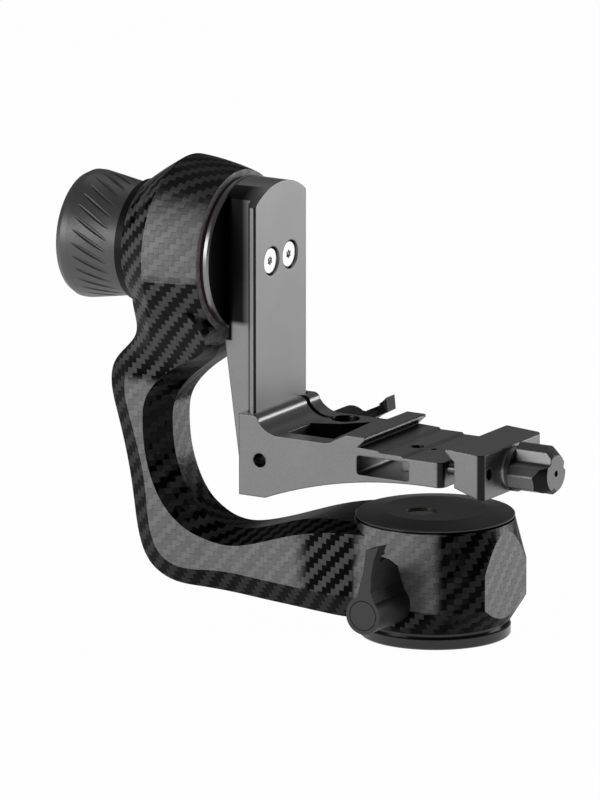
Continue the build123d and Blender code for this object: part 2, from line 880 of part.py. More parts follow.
def clamp_knob_grip():
    """Knob with three blunt lobes on a round collar, sloped back round its front face."""
    lobe = [
        (knob3_side_reach, -knob3_side_half),
        (knob3_reach, -knob3_end_half),
        (knob3_reach, knob3_end_half),
        (knob3_side_reach, knob3_side_half),
    ]
    corners = []
    for i in range(3):
        corners += [Vector(x, y).rotate(Axis.Z, 120 * i) for x, y in lobe]
        corners.append(Vector(knob3_waist, 0).rotate(Axis.Z, 120 * i + 60))
    body = extrude(make_face(Polyline(*corners, close=True)), knob3_length)
    body = fillet(body.edges().filter_by(Axis.Z), knob3_round)
    wide = knob3_reach + knob3_end_half
    nose = [
        (0, 0),
        (wide, 0),
        (wide, knob3_nose_start),
        (knob3_nose_r, knob3_length - knob3_edge),
        (knob3_nose_r - knob3_edge, knob3_length),
        (0, knob3_length),
    ]
    grip = (body & turned(nose)) + rod(knob3_collar_r, -knob3_collar_length, 0)
    screw_high = knob3_length - knob3_hole_depth - 1
    grip -= rod(clamp_screw_r + fit, -knob3_collar_length - 1, screw_high)
    grip -= rod(knob3_hole_r, knob3_length - knob3_hole_depth, knob3_length + 1)
    upright = Pos(knob3_front, 0, clamp_height) * Rot(0, 90, 0) * Rot(0, 0, 180 - knob3_turn)
    return upright * grip


def clamp_screw():
    high = knob3_end - knob3_hole_depth - 1
    return rod_x(clamp_screw_r, screw_boss_left, high, 0, clamp_height)


def clamp_ring(outer, low, thick, bore):
    body = rod_x(outer, low, low + thick, 0, clamp_height)
    return body - rod_x(bore, low - 1, low + thick + 1, 0, clamp_height)


# Lock levers


def lever_wing(reach):
    """Outline of the lever from the front, with its hub at the origin and its wing along +Y."""
    r = lever_hub_r
    edge = [
        (0.92 * r, 0.38 * r),
        (0.70 * r, 0.19 * reach),
        (0.45 * r, 0.34 * reach),
        (0.48 * r, 0.56 * reach),
        (0.63 * r, 0.80 * reach),
        (0.92 * r, reach),
        (0.18 * r, 0.94 * reach),
        (0.03 * r, 0.63 * reach),
        (-0.34 * r, 0.27 * reach),
        (-0.88 * r, 0.47 * r),
    ]
    return Polygon((0, 0), *edge, align=None)


def lever_handle(bore_r, reach):
    """Lock lever on its screw, from its inner face at z = 0 outwards."""
    handle = extrude(Circle(lever_hub_r) + lever_wing(reach), lever_length)
    inside = lever_length - lever_tip_depth
    hollow = [
        (0, lever_hollow_start, -1),
        (0, lever_hollow_start, 0),
        (0, 0.57 * reach, 0.17 * inside),
        (0, 0.80 * reach, 0.83 * inside),
        (0, 0.90 * reach, inside),
        (0, reach + 1, inside),
        (0, reach + 1, -1),
    ]
    hollow_face = make_face(Polyline(*hollow, close=True))
    handle -= extrude(hollow_face, 2 * lever_hub_r, both=True)
    handle -= rod(lever_cap_r + fit, lever_length - lever_cap_thick, lever_length + 1)
    dimple = rod(lever_dimple_r, 0, inside + lever_dimple_depth)
    handle -= Pos(lever_dimple_side, lever_dimple_share * reach, 0) * dimple
    return handle - rod(bore_r + fit, -1, lever_length)


def lever_cap():
    cap = rod(lever_cap_r, lever_length - lever_cap_thick, lever_length)
    return chamfer(cap.edges().group_by(Axis.Z)[-1], lever_cap_thick / 5)


def lever_washer():
    return ring(lever_washer_r, lever_screw_r + running, 0, lever_washer_thick)


pan_lever_frame = Pos(0, -lever_start, pan_lever_height) * Rot(90, 0, 0)
pan_washer_frame = Pos(0, -housing_flat_y, pan_lever_height) * Rot(90, 0, 0)
outwards = Rot(0, height_lever_turn, 0) * Rot(0, 0, 180) * Rot(90, 0, 0)
height_lever_frame = Pos(height_bolt_x, bracket_half + lever_washer_thick + gap, height_bolt_z) * outwards
height_washer_frame = Pos(height_bolt_x, bracket_half, height_bolt_z) * outwards


def main():
    os.makedirs("parts", exist_ok=True)

    write("base_plate", base_plate())
    insert = ring(insert_r, socket_r, 0, socket_depth)
    write("tripod_insert", insert)
    write("base_screws", *[place * base_screw() for place in base_screw_places()])
    seal_r = base_step_r - 0.3
    write("dust_seal", ring(seal_r, seal_r - seal_width, flange_low, flange_low + seal_thick))
    write("pan_spindle", pan_spindle())
    inner, outer, balls = bearing(pan_spindle_r, pan_bearing_r, pan_ball_count)
    places = [Pos(0, 0, bearing_low), Pos(0, 0, bearing_high)]
    write("pan_inner_rings", *[place * inner for place in places])
    write("pan_outer_rings", *[place * outer for place in places])
    write("pan_balls", *[place * ball for place in places for ball in balls])
    write("pan_lock_nut", ring(pan_nut_r, pan_spindle_r + fit, pan_nut_low, pan_nut_high))
    write("pan_cap", pan_cap())
    cup, fluid, glass = level_pieces()
    write("level_cup", cup)
    write("level_fluid", fluid)
    write("level_lens", glass)

    write("gimbal_arm", gimbal_arm())
    write("pan_sleeve", pan_sleeve())
    write("pan_bush", pan_bush())
    write("pan_shoe", pan_shoe())
    write("pan_washer", pan_washer_frame * lever_washer())
    write("tilt_sleeve", tilt_sleeve())
    write("tilt_spacer", tilt_spacer())
    inner, outer, balls = bearing(tilt_spindle_r, tilt_bearing_r, tilt_ball_count)
    places = [tilt_frame * Pos(0, 0, x) for x in (tilt_back_bearing, tilt_front_bearing)]
    write("tilt_inner_rings", *[place * inner for place in places])
    write("tilt_outer_rings", *[place * outer for place in places])
    write("tilt_balls", *[place * ball for place in places for ball in balls])
    washer = ring(tilt_washer_r, tilt_washer_bore_r, hub_front, hub_front + tilt_washer_thick)
    write("tilt_washer", tilt_frame * washer)
    collar = ring(tilt_collar_r, tilt_thread_r + fit, hub_back - tilt_collar_thick, hub_back)
    write("tilt_collar", tilt_frame * collar)

    write("tilt_knob_grip", knob_grip())
    write("tilt_knob_nut", knob_nut())
    knob_cap = rod(knob_cap_r - fit, knob_back, knob_back + knob_cap_thick)
    write("tilt_knob_cap", tilt_frame * knob_cap)

    write("tilt_spindle", tilt_spindle())
    write("tilt_lock_nut", tilt_frame * ring(tilt_nut_r, tilt_spindle_r + fit, nut_back, nut_front))
    write("tilt_brake_pad", tilt_frame * rod(tilt_nut_r, pad_back, nut_back))
    write("swing_disc", swing_disc())
    write("swing_rail", swing_rail())
    write("swing_screws", *[place * swing_screw() for place in swing_screw_places()])
    pin_low = rail_front - stop_pin_length / 2
    write("rail_stop_pin", rod_x(stop_pin_r, pin_low, pin_low + stop_pin_length, 0, stop_pin_height))

    write("platform_bracket", platform_bracket())
    write("rail_pad", rail_pad())
    write("jaw_pins", *jaw_pins())
    write("height_washer", height_washer_frame * lever_washer())

    write("clamp_jaw", clamp_jaw())
    screw_room = clamp_screw_r + running
    write("clamp_washer", clamp_ring(clamp_washer_r, jaw_outer, clamp_washer_thick, screw_room))
    write("clamp_knob_grip", clamp_knob_grip())
    write("clamp_screw", clamp_screw())
    clip_low = jaw_inner + clip_recess - clip_thick - gap
    write("clamp_clip", clamp_ring(clip_r - running, clip_low, clip_thick, clamp_screw_r + fit))

    write("pan_lever_handle", pan_lever_frame * lever_handle(lever_screw_r, pan_lever_reach))
    write("pan_lever_cap", pan_lever_frame * lever_cap())
    screw_high = lever_length - lever_cap_thick - gap
    screw_low = pan_shoe_back - lever_start + gap
    write("pan_lock_screw", pan_lever_frame * rod(lever_screw_r, screw_low, screw_high))
    height_handle = lever_handle(height_bolt_r, height_lever_reach)
    write("height_lever_handle", height_lever_frame * height_handle)
    write("height_lever_cap", height_lever_frame * lever_cap())
    write("height_lock_bolt", height_lever_frame * rod(height_bolt_r, -height_bolt_depth, screw_high))


main()
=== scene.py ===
import bpy
import json
from math import cos, pi, radians, sin
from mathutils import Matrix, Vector

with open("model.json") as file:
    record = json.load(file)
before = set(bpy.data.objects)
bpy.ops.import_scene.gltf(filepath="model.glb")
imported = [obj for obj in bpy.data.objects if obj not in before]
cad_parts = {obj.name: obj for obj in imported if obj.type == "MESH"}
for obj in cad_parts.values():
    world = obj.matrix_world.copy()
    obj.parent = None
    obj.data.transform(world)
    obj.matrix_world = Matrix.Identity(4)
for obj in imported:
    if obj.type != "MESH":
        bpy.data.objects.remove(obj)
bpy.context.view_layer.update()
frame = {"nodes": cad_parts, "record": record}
scene = bpy.context.scene
nodes = frame["nodes"]
mm = 0.001


def addNode(tree, kind, **settings):
    node = tree.nodes.new(kind)
    for key, value in settings.items():
        setattr(node, key, value)
    return node


def feed(tree, socket, value):
    if isinstance(value, bpy.types.NodeSocket):
        tree.links.new(value, socket)
    else:
        socket.default_value = value


def calc(tree, operation, a, b=None, c=None):
    node = addNode(tree, "ShaderNodeMath", operation=operation)
    for socket, value in zip(node.inputs, (a, b, c)):
        if value is not None:
            feed(tree, socket, value)
    return node.outputs[0]


def times(tree, *factors):
    result = factors[0]
    for factor in factors[1:]:
        result = calc(tree, "MULTIPLY", result, factor)
    return result


def absolute(tree, value):
    return calc(tree, "ABSOLUTE", value)


def mixFloat(tree, factor, a, b):
    node = addNode(tree, "ShaderNodeMix", data_type="FLOAT")
    for index, value in ((0, factor), (2, a), (3, b)):
        feed(tree, node.inputs[index], value)
    return node.outputs[0]


def mixColour(tree, factor, a, b):
    node = addNode(tree, "ShaderNodeMix", data_type="RGBA")
    for index, value in ((0, factor), (6, a), (7, b)):
        feed(tree, node.inputs[index], value)
    return node.outputs[2]


def ramp(tree, value, limits, low=0.0, high=1.0, shape="LINEAR"):
    node = addNode(tree, "ShaderNodeMapRange", interpolation_type=shape)
    for socket, setting in zip(node.inputs, (value, *limits, low, high)):
        feed(tree, socket, setting)
    return node.outputs[0]


def softStep(tree, value, limits, low=0.0, high=1.0):
    return ramp(tree, value, limits, low, high, "SMOOTHSTEP")


def objectCoordinates(tree):
    coordinate = addNode(tree, "ShaderNodeTexCoord")
    mapping = addNode(tree, "ShaderNodeMapping")
    tree.links.new(coordinate.outputs["Object"], mapping.inputs["Vector"])
    return mapping.outputs[0]


def noise(tree, vector, scale, detail=2.0, roughness=0.5):
    node = addNode(tree, "ShaderNodeTexNoise")
    tree.links.new(vector, node.inputs["Vector"])
    node.inputs["Scale"].default_value = scale
    node.inputs["Detail"].default_value = detail
    node.inputs["Roughness"].default_value = roughness
    return node.outputs["Fac"]


def splitVector(tree, vector):
    split = addNode(tree, "ShaderNodeSeparateXYZ")
    tree.links.new(vector, split.inputs[0])
    return split.outputs


def trueFacing(tree):
    # the face's own direction on the piece, without the softening of shaded normals
    geometry = addNode(tree, "ShaderNodeNewGeometry")
    turn = addNode(tree, "ShaderNodeVectorTransform", vector_type="NORMAL")
    turn.convert_from = "WORLD"
    turn.convert_to = "OBJECT"
    tree.links.new(geometry.outputs["True Normal"], turn.inputs[0])
    return splitVector(tree, turn.outputs[0])


def bump(tree, height, distance, normal=None):
    node = addNode(tree, "ShaderNodeBump")
    node.inputs["Strength"].default_value = 1.0
    node.inputs["Distance"].default_value = distance
    tree.links.new(height, node.inputs["Height"])
    if normal is not None:
        tree.links.new(normal, node.inputs["Normal"])
    return node.outputs[0]


# the part of a noise's range that nearly all of it falls in, for fine grain and for broad clouds
grainRange = (0.2, 0.8)
cloudRange = (0.3, 0.7)


def grainLevel(tree, grain, middle, spread):
    # a value that the grain moves up and down around its middle
    return ramp(tree, grain, grainRange, middle * (1 - spread), middle * (1 + spread))


def grey(value):
    return (value, value, value, 1.0)


def newMaterial(name):
    material = bpy.data.materials.new(name)
    material.use_nodes = True
    tree = material.node_tree
    return material, tree, tree.nodes["Principled BSDF"]


def paintLevel(tree, shader, level, tint=(1, 1, 1)):
    colour = addNode(tree, "ShaderNodeCombineColor")
    for socket, share in zip(colour.inputs, tint):
        feed(tree, socket, calc(tree, "MULTIPLY", level, share))
    tree.links.new(colour.outputs[0], shader.inputs["Base Color"])


twill = {
    "tow": 2.2 * mm,                # width of one tow
    "fibreLines": 9.0,              # fine lines across a tow
    "crown": 0.6,                   # how much a tow falls away at its sides
    "crownPower": 4.0,              # and how close to the edge that starts
    "arch": 0.7,                    # the same towards its ends
    "archPower": 3.0,
    "relief": 0.08 * mm,
    "diveFrom": (0.84, 0.99),       # part of a tow's length where it dives under the next
    "blendPower": 7.0,              # how sharply one direction's cloth gives way to the next
    "weftSheenFlat": 0.335,              # painted sheen: the two tows' brightness on the flat sides
    "warpSheenFlat": 0.280,
    "weftShadeRound": 0.120,             # and, in painted shade, on the rounded ones
    "weftShadeChamfer": 0.050,
    "warpShadeRound": 0.001,
    "warpLitUpper": 0.018,             # painted light on the front of the hub and neck
    "warpLitTop": 0.032,               # painted light on the hub's upper half
    "clampSheenGain": 1.55,            # painted sheen on the flats that face the clamp, against the others
    "topShadeShare": 0.38,               # painted shade on upper and lower faces, against the sides
    "endShade": 0.30,               # the ends of the tows, on round sides and on flat ones
    "endShadeFlat": 0.55,
    "fibreShade": (0.86, 1.06),
    "patchScale": 420.0,            # broad patches along the cloth
    "patchShade": (0.88, 1.10),
    "tint": (1.0, 1.0, 1.02),
    "metallic": 0.05,
    "roughness": 0.42,
    "specular": 0.02,
    "coat": 0.03,
    "coatRoughness": 0.08,
}
# heights, places and reaches on the arm in metres, and face directions from -1 to 1, which place the
# painted light and shade on the carbon
armZones = {
    "sheenFront": (0.976, 0.997),    # how squarely a face looks to the front before it counts as flat and gets the painted sheen
    "sheenClamp": (0.93, 0.985),
    "runStart": -0.092,             # the lower run, from the corner towards the base
    "runFade": (-0.052, -0.042),
    "runFront": 0.9,
    "neckFade": (0.087, 0.092),     # going up, where the arm's flat gives way to the neck
    "neckRise": (0.092, 0.102),
    "upperFront": (0.74, 0.86),
    "openFront": (0.89, 0.95),      # steeper faces than this are chamfers, darker with painted shade
    "hubLow": 0.112,                # where the hub starts, and its painted highlight band
    "highlightLow": 0.126,
    "highlightBelow": (0.980, 0.989),    # how far round the hub the painted highlight reaches, down and up
    "highlightAbove": (0.62, 0.93),
    "highlightEnd": (0.36, 0.44),        # the hub's shoulders, where the painted highlight stops
    "topFrom": (0.15, 0.55),        # the hub's upper half with painted light, without its side towards the tilt knob
    "topBack": (-0.45, -0.25),
    "topShadeFade": (0.55, 0.97),        # upper and lower faces, which darken with painted shade
    "housingReach": 0.037,          # the round housing, its foot and the two patches of painted sheen on its sides
    "housingHigh": 0.0475,
    "housingRise": (0.0155, 0.0165),
    "housingFront": (0.81, 0.90),
}


def twillGroup():
    tree = bpy.data.node_groups.new("twillWeave", "ShaderNodeTree")
    for name in ("U", "V"):
        tree.interface.new_socket(name, in_out="INPUT", socket_type="NodeSocketFloat")
    for name in ("Weft", "Height", "Line", "End"):
        tree.interface.new_socket(name, in_out="OUTPUT", socket_type="NodeSocketFloat")
    start = addNode(tree, "NodeGroupInput")
    end = addNode(tree, "NodeGroupOutput")
    u = calc(tree, "DIVIDE", start.outputs["U"], twill["tow"])
    v = calc(tree, "DIVIDE", start.outputs["V"], twill["tow"])
    column = calc(tree, "FLOOR", u)
    row = calc(tree, "FLOOR", v)
    acrossU = calc(tree, "SUBTRACT", u, column)
    acrossV = calc(tree, "SUBTRACT", v, row)
    # two over and two under: each tow steps one on from the one beside it
    step = calc(tree, "FLOORED_MODULO", calc(tree, "SUBTRACT", column, row), 4.0)
    weft = calc(tree, "GREATER_THAN", step, 1.5)
    # how far along its float and across its width a point is, from -1 to 1
    leftOfV = calc(tree, "SUBTRACT", 1.0, acrossV)
    alongWarp = calc(tree, "SUBTRACT", calc(tree, "ADD", step, leftOfV), 1.0)
    alongWeft = calc(tree, "SUBTRACT", calc(tree, "ADD", step, acrossU), 3.0)
    along = absolute(tree, mixFloat(tree, weft, alongWarp, alongWeft))
    acrossTow = calc(tree, "MULTIPLY_ADD", mixFloat(tree, weft, acrossU, acrossV), 2.0, -1.0)
    fall = calc(tree, "POWER", absolute(tree, acrossTow), twill["crownPower"])
    crown = calc(tree, "SUBTRACT", 1.0, times(tree, fall, twill["crown"]))
    dip = calc(tree, "POWER", along, twill["archPower"])
    arch = calc(tree, "SUBTRACT", 1.0, times(tree, dip, twill["arch"]))
    line = calc(tree, "SINE", times(tree, acrossTow, pi * twill["fibreLines"]))
    tree.links.new(weft, end.inputs["Weft"])
    tree.links.new(times(tree, crown, arch), end.inputs["Height"])
    tree.links.new(line, end.inputs["Line"])
    tree.links.new(softStep(tree, along, twill["diveFrom"]), end.inputs["End"])
    return tree


def layCloth(tree, place, sides):
    # the same cloth laid from three directions, each showing where a face looks its way
    x, y, z = place
    group = twillGroup()
    weights = [calc(tree, "POWER", side, twill["blendPower"]) for side in sides]
    total = calc(tree, "ADD", calc(tree, "ADD", weights[0], weights[1]), weights[2])
    cloth = {"Weft": None, "Height": None, "Line": None, "End": None}
    for (u, v), weight in zip(((y, z), (x, z), (x, y)), weights):
        layer = addNode(tree, "ShaderNodeGroup", node_tree=group)
        tree.links.new(u, layer.inputs["U"])
        tree.links.new(v, layer.inputs["V"])
        share = calc(tree, "DIVIDE", weight, total)
        for key in cloth:
            part = times(tree, layer.outputs[key], share)
            cloth[key] = part if cloth[key] is None else calc(tree, "ADD", cloth[key], part)
    return cloth


# painted sheen: which of the arm's sides count as flat and are painted lighter
def armSheenMask(tree, x, z, face, front):
    flatSheen = softStep(tree, front, armZones["sheenFront"])
    # the run widens towards the base, so there only a tilt up or down counts
    level = calc(tree, "SQRT", calc(tree, "SUBTRACT", 1.0, times(tree, face[2], face[2])))
    run = times(tree, softStep(tree, level, armZones["sheenFront"]),
                calc(tree, "GREATER_THAN", front, armZones["runFront"]),
                calc(tree, "GREATER_THAN", x, armZones["runStart"]))
    flatSheen = calc(tree, "MAXIMUM", flatSheen, run)
    return times(tree, flatSheen, softStep(tree, z, armZones["neckFade"], 1.0, 0.0),
                 softStep(tree, x, armZones["runFade"], 1.0, 0.0))


# painted highlight: a light band round the front of the hub
def hubHighlight(tree, z, face, front, sides):
    # the small number keeps the division sound where a face looks straight along the axle
    squares = calc(tree, "ADD", times(tree, face[1], face[1]), times(tree, face[2], face[2]))
    around = calc(tree, "DIVIDE", front, calc(tree, "SQRT", calc(tree, "ADD", squares, 1e-6)))
    highlightBand = mixFloat(tree, calc(tree, "GREATER_THAN", face[2], 0.0),
                    softStep(tree, around, armZones["highlightBelow"]),
                    softStep(tree, around, armZones["highlightAbove"]))
    return times(tree, highlightBand, softStep(tree, sides[0], armZones["highlightEnd"], 1.0, 0.0),
                 calc(tree, "GREATER_THAN", z, armZones["highlightLow"]))


def carbonTwill():
    material, tree, shader = newMaterial("carbonTwill")
    coordinate = addNode(tree, "ShaderNodeTexCoord")
    place = splitVector(tree, coordinate.outputs["Object"])
    x, y, z = place
    sides = [absolute(tree, way) for way in splitVector(tree, coordinate.outputs["Normal"])]
    cloth = layCloth(tree, place, sides)

    # painted sheen: both tows are painted lighter on a flat side, and only one of them where the cloth
    # bends away
    face = trueFacing(tree)
    front = absolute(tree, face[1])
    reach = calc(tree, "SQRT", calc(tree, "ADD", times(tree, x, x), times(tree, y, y)))
    housingSheen = softStep(tree, calc(tree, "DIVIDE", absolute(tree, y), reach), armZones["housingFront"])
    housingSheen = times(tree, housingSheen, ramp(tree, z, armZones["housingRise"]))
    isHousing = times(tree, calc(tree, "LESS_THAN", reach, armZones["housingReach"]),
                      calc(tree, "LESS_THAN", z, armZones["housingHigh"]))
    isHub = calc(tree, "GREATER_THAN", z, armZones["hubLow"])
    side = mixFloat(tree, isHub, armSheenMask(tree, x, z, face, front), hubHighlight(tree, z, face, front, sides))
    side = mixFloat(tree, isHousing, side, housingSheen)
    # painted sheen on the faces that look towards the clamp
    clampSheen = softStep(tree, face[0], armZones["sheenClamp"])
    flatSheen = calc(tree, "MAXIMUM", side, clampSheen)

    # painted light: the front of the neck and hub, and the hub's upper half, stay a little lighter
    litFront = times(tree, softStep(tree, front, armZones["upperFront"]), ramp(tree, z, armZones["neckRise"]))
    litTop = times(tree, isHub, softStep(tree, face[2], armZones["topFrom"]),
                 softStep(tree, face[0], armZones["topBack"]))
    warpShadeRound = mixFloat(tree, litFront, twill["warpShadeRound"], twill["warpLitUpper"])
    warpShadeRound = mixFloat(tree, litTop, warpShadeRound, twill["warpLitTop"])
    openSide = calc(tree, "MAXIMUM", calc(tree, "MAXIMUM", litFront, isHub),
                    softStep(tree, front, armZones["openFront"]))
    weftShadeRound = mixFloat(tree, openSide, twill["weftShadeChamfer"], twill["weftShadeRound"])
    endShade = mixFloat(tree, flatSheen, twill["endShade"], twill["endShadeFlat"])
    patches = noise(tree, coordinate.outputs["Object"], twill["patchScale"])
    level = mixFloat(tree, cloth["Weft"], mixFloat(tree, flatSheen, warpShadeRound, twill["warpSheenFlat"]),
                     mixFloat(tree, flatSheen, weftShadeRound, twill["weftSheenFlat"]))
    level = times(tree, level, mixFloat(tree, clampSheen, 1.0, twill["clampSheenGain"]),
                  ramp(tree, patches, cloudRange, *twill["patchShade"]),
                  ramp(tree, cloth["Line"], (-1.0, 1.0), *twill["fibreShade"]),
                  ramp(tree, cloth["End"], (0.0, 1.0), 1.0, endShade),
                  softStep(tree, sides[2], armZones["topShadeFade"], 1.0, twill["topShadeShare"]))
    paintLevel(tree, shader, level, twill["tint"])
    tree.links.new(bump(tree, cloth["Height"], twill["relief"]), shader.inputs["Normal"])
    shader.inputs["Metallic"].default_value = twill["metallic"]
    shader.inputs["Roughness"].default_value = twill["roughness"]
    shader.inputs["Specular IOR Level"].default_value = twill["specular"]
    shader.inputs["Coat Weight"].default_value = twill["coat"]
    shader.inputs["Coat Roughness"].default_value = twill["coatRoughness"]
    return material


edges = {
    "samples": 4,
    "lineFrom": (0.86, 0.985),      # how far a softened corner turns from its face
    "cornerFrom": (0.10, 0.34),     # how far a face looks between front and side
}
hollows = {
    "samples": 6,
    "openFrom": (0.35, 0.85),
}
stemFlank = {
    "front": 0.3,                   # faces that look at least this much to the front
    "rise": (0.1175, 0.1195),       # heights between which the shade sets in
    "across": (-0.0785, -0.0715),   # painted shade, from the dark side at the disc to the light one at the rail
    "share": 0.04,
}


def cornerShade(tree, radius, share):
    # painted shade: a fine darker line on each edge, and a darker tone where a corner rounds between two
    # upright faces
    soft = addNode(tree, "ShaderNodeBevel", samples=edges["samples"])
    soft.inputs["Radius"].default_value = radius
    geometry = addNode(tree, "ShaderNodeNewGeometry")
    agree = addNode(tree, "ShaderNodeVectorMath", operation="DOT_PRODUCT")
    tree.links.new(soft.outputs[0], agree.inputs[0])
    tree.links.new(geometry.outputs["True Normal"], agree.inputs[1])
    line = softStep(tree, agree.outputs["Value"], edges["lineFrom"], share, 1.0)
    face = trueFacing(tree)
    across = absolute(tree, times(tree, face[0], face[1]))
    shade = times(tree, line, softStep(tree, across, edges["cornerFrom"], 1.0, share))
    return soft.outputs[0], shade


def hollowShade(tree, reach, share):
    # painted shade: grooves and recesses stay darker than the open faces
    hollow = addNode(tree, "ShaderNodeAmbientOcclusion", samples=hollows["samples"], only_local=True)
    hollow.inputs["Distance"].default_value = reach
    return softStep(tree, hollow.outputs["AO"], hollows["openFrom"], share, 1.0)


def flankShade(tree, flank):
    # painted shade: the narrow sides of the stem darken towards the disc
    place = splitVector(tree, addNode(tree, "ShaderNodeTexCoord").outputs["Object"])
    narrow = calc(tree, "GREATER_THAN", absolute(tree, trueFacing(tree)[1]), flank["front"])
    narrow = times(tree, narrow, ramp(tree, place[2], flank["rise"]))
    return mixFloat(tree, narrow, 1.0, ramp(tree, place[0], flank["across"], flank["share"], 1.0))


metal = {
    "relief": 0.004 * mm,
    "roughnessGrain": 0.1,          # how far the grain moves the roughness up and down
    "cloudScale": 60.0,             # faint clouds across a whole part
    "cloudShade": (0.97, 1.03),
}


def satinMetal(name, tone, roughness, metallic=1.0, grain=0.05, grainScale=5200.0,
               tint=(1, 1, 1), corner=None, hollow=None, flank=None):
    material, tree, shader = newMaterial(name)
    vector = objectCoordinates(tree)
    fine = noise(tree, vector, grainScale, roughness=0.7)
    clouds = noise(tree, vector, metal["cloudScale"], detail=3.0)
    level = times(tree, grainLevel(tree, fine, tone, grain),
                  ramp(tree, clouds, cloudRange, *metal["cloudShade"]))
    edge = None
    if corner:
        edge, shade = cornerShade(tree, *corner)
        level = times(tree, level, shade)
    if hollow:
        level = times(tree, level, hollowShade(tree, *hollow))
    if flank:
        level = times(tree, level, flankShade(tree, flank))
    paintLevel(tree, shader, level, tint)
    gloss = grainLevel(tree, fine, roughness, metal["roughnessGrain"])
    tree.links.new(gloss, shader.inputs["Roughness"])
    tree.links.new(bump(tree, fine, metal["relief"], edge), shader.inputs["Normal"])
    shader.inputs["Metallic"].default_value = metallic
    return material


lever = {
    "side": 0.010,
    "front": 0.075,
    "frontFrom": (0.96, 0.995),     # how squarely a face looks to the front
    "grainScale": 3200.0,
    "grain": 0.12,
    "relief": 0.012 * mm,
    "roughness": 0.5,
    "gloss": 0.3,
}
disc = {
    "rim": 0.24,
    "faceShare": 0.90,              # painted shade on the flat face, against the rim
    "faceFrom": (0.90, 0.99),
    "grainScale": 2600.0,
    "grain": 0.1,
    "relief": 0.003 * mm,
    "roughness": 0.3,
}


def leverPaint():
    # powder coat, lighter on the faces that look to the front and back
    material, tree, shader = newMaterial("leverPaint")
    fine = noise(tree, objectCoordinates(tree), lever["grainScale"], detail=3.0, roughness=0.6)
    frontFaces = softStep(tree, absolute(tree, trueFacing(tree)[1]), lever["frontFrom"])
    level = times(tree, mixFloat(tree, frontFaces, lever["side"], lever["front"]),
                  grainLevel(tree, fine, 1.0, lever["grain"]))
    paintLevel(tree, shader, level)
    tree.links.new(bump(tree, fine, lever["relief"]), shader.inputs["Normal"])
    shader.inputs["Roughness"].default_value = lever["roughness"]
    shader.inputs["Specular IOR Level"].default_value = lever["gloss"]
    return material


def discFaceShade():
    # painted shade: the flat face is a little darker than the rim around it
    material, tree, shader = newMaterial("discGray")
    fine = noise(tree, objectCoordinates(tree), disc["grainScale"], roughness=0.7)
    face = softStep(tree, trueFacing(tree)[0], disc["faceFrom"], 1.0, disc["faceShare"])
    paintLevel(tree, shader, times(tree, face, grainLevel(tree, fine, disc["rim"], disc["grain"])))
    tree.links.new(bump(tree, fine, disc["relief"]), shader.inputs["Normal"])
    shader.inputs["Roughness"].default_value = disc["roughness"]
    shader.inputs["Metallic"].default_value = 1.0
    return material


def coating(name, colour, roughness, gloss=0.5, grain=0.08, grainScale=2600.0, detail=3.0,
            relief=0.01 * mm):
    # lacquer, plastic and rubber: a colour that the grain makes lighter and darker
    material, tree, shader = newMaterial(name)
    fine = noise(tree, objectCoordinates(tree), grainScale, detail, roughness=0.6)
    low = tuple(part * (1 - grain) for part in colour) + (1.0,)
    high = tuple(part * (1 + grain) for part in colour) + (1.0,)
    tree.links.new(mixColour(tree, fine, low, high), shader.inputs["Base Color"])
    tree.links.new(bump(tree, fine, relief), shader.inputs["Normal"])
    shader.inputs["Roughness"].default_value = roughness
    shader.inputs["Specular IOR Level"].default_value = gloss
    return material


glass = {
    "cloudScale": 300.0,
    "cloudShade": 0.94,             # how much darker the clouds in it are
}


def clearGlass(name, colour, roughness=0.02, transmission=1.0):
    material, tree, shader = newMaterial(name)
    clouds = noise(tree, objectCoordinates(tree), glass["cloudScale"])
    low = tuple(part * glass["cloudShade"] for part in colour) + (1.0,)
    tree.links.new(mixColour(tree, clouds, low, colour + (1.0,)), shader.inputs["Base Color"])
    shader.inputs["Roughness"].default_value = roughness
    shader.inputs["Transmission Weight"].default_value = transmission
    return material


# settings shared by the blasted gray aluminium, with painted shade on its edges and in its hollows, and by
# the smoother black lacquer
blastedAndShaded = {"grain": 0.16, "grainScale": 2600.0, "corner": (0.8 * mm, 0.10), "hollow": (4.0 * mm, 0.25)}
lacquer = {"grain": 0.2, "grainScale": 4200.0, "detail": 2.0, "relief": 0.002 * mm}

# hollow adds painted shade in grooves and recesses
finishes = {
    "carbon_twill": carbonTwill(),
    "anodised_gray": satinMetal("anodisedGray", tone=0.232, roughness=0.36, **blastedAndShaded),
    "anodised_black": satinMetal("anodisedBlack", tone=0.115, roughness=0.40, metallic=0.5,
                                 hollow=(1.0 * mm, 0.15)),
    "lever_black": leverPaint(),
    "machined": satinMetal("machinedAluminium", tone=0.62, roughness=0.25),
    "steel": satinMetal("stainlessSteel", tone=0.93, roughness=0.25, grain=0.02,
                        hollow=(1.0 * mm, 0.03)),
    "bearing_steel": satinMetal("bearingSteel", tone=0.7, roughness=0.12, grain=0.02),
    "brass": satinMetal("turnedBrass", tone=0.7, roughness=0.25, tint=(1.0, 0.8, 0.4)),
    "nylon": coating("darkNylon", (0.03, 0.03, 0.03), roughness=0.5),
    "fibre": coating("redFibre", (0.035, 0.009, 0.006), roughness=0.7),
    "seal": coating("sealRubber", (0.012, 0.012, 0.012), roughness=0.6),
    "level_cup": coating("levelCup", (0.10, 0.12, 0.02), roughness=0.4),
    "level_fluid": clearGlass("levelFluid", (0.62, 0.80, 0.06), transmission=0.75),
    "level_lens": clearGlass("levelLens", (0.97, 0.99, 0.97)),
}
